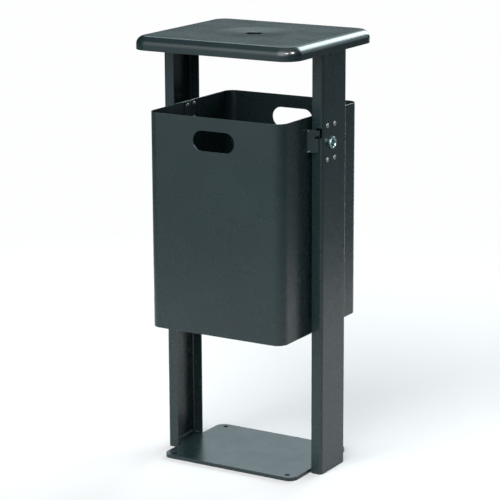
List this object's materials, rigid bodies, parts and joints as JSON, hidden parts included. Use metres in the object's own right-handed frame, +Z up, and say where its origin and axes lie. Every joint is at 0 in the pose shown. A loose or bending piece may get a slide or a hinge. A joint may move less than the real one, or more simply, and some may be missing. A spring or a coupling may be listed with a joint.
{
  "type": "ashtray bin",
  "caption": "Litter bin with a hood over it: channel posts on a base plate carry a lock-secured, lift-out square basket and an ash pan under a hole in the hood.",
  "frame": {"origin": "on the ground, at the middle of the base plate's underside", "axes": "+X towards the post with the lock, -Y to the front, +Z up"},
  "size_m": [0.428, 0.383, 1],
  "materials": {
    "powder_coat": "fine satin powder coat, anthracite grey",
    "zinc_plated": "zinc plated",
    "chrome": "polished",
    "galvanised": "galvanised sheet"
  },
  "bodies": {
    "frame": {"base_plate": "powder_coat", "left_post": "powder_coat", "right_post": "powder_coat", "left_post_cap": "powder_coat", "right_post_cap": "powder_coat", "left_receiver": "powder_coat", "right_receiver": "powder_coat", "hood": "powder_coat", "hood_spacer_left_front": "zinc_plated", "hood_spacer_left_rear": "zinc_plated", "hood_spacer_right_front": "zinc_plated", "hood_spacer_right_rear": "zinc_plated", "hood_nut_left_front": "zinc_plated", "hood_nut_left_rear": "zinc_plated", "hood_nut_right_front": "zinc_plated", "hood_nut_right_rear": "zinc_plated", "ash_hanger_left": "powder_coat", "ash_hanger_right": "powder_coat", "ash_pivot_left": "zinc_plated", "ash_pivot_right": "zinc_plated", "left_post_rivet_1": "zinc_plated", "left_post_rivet_2": "zinc_plated", "left_post_rivet_3": "zinc_plated", "left_post_rivet_4": "zinc_plated", "right_post_rivet_1": "zinc_plated", "right_post_rivet_2": "zinc_plated", "right_post_rivet_3": "zinc_plated", "right_post_rivet_4": "zinc_plated", "lock_housing": "chrome", "lock_nut": "zinc_plated"},
    "basket": {"basket_shell": "powder_coat", "basket_floor": "powder_coat", "left_hook_plate": "powder_coat", "right_hook_plate": "powder_coat", "left_backing_plate": "powder_coat", "right_backing_plate": "powder_coat", "left_basket_rivet_1": "zinc_plated", "left_basket_rivet_2": "zinc_plated", "left_basket_rivet_3": "zinc_plated", "left_basket_rivet_4": "zinc_plated", "right_basket_rivet_1": "zinc_plated", "right_basket_rivet_2": "zinc_plated", "right_basket_rivet_3": "zinc_plated", "right_basket_rivet_4": "zinc_plated"},
    "lock": {"lock_core": "chrome", "lock_cam": "zinc_plated", "lock_cam_screw": "zinc_plated"},
    "ash_pan": {"ash_pan": "galvanised"}
  },
  "joints": [
    {"name": "basket_draw", "type": "slide", "parent": "frame", "child": "basket", "axis": [0, -0.9848, 0.1736], "range_m": [0, 0.25]},
    {"name": "lock_turn", "type": "hinge", "parent": "frame", "child": "lock", "pos_m": [0.2082, -0.0185, 0.77], "axis": [-1, 0, 0], "range_deg": [0, 90]},
    {"name": "ash_pan_swing", "type": "hinge", "parent": "frame", "child": "ash_pan", "pos_m": [0, 0.068, 0.984], "axis": [1, 0, 0], "range_deg": [0, 75]}
  ]
}
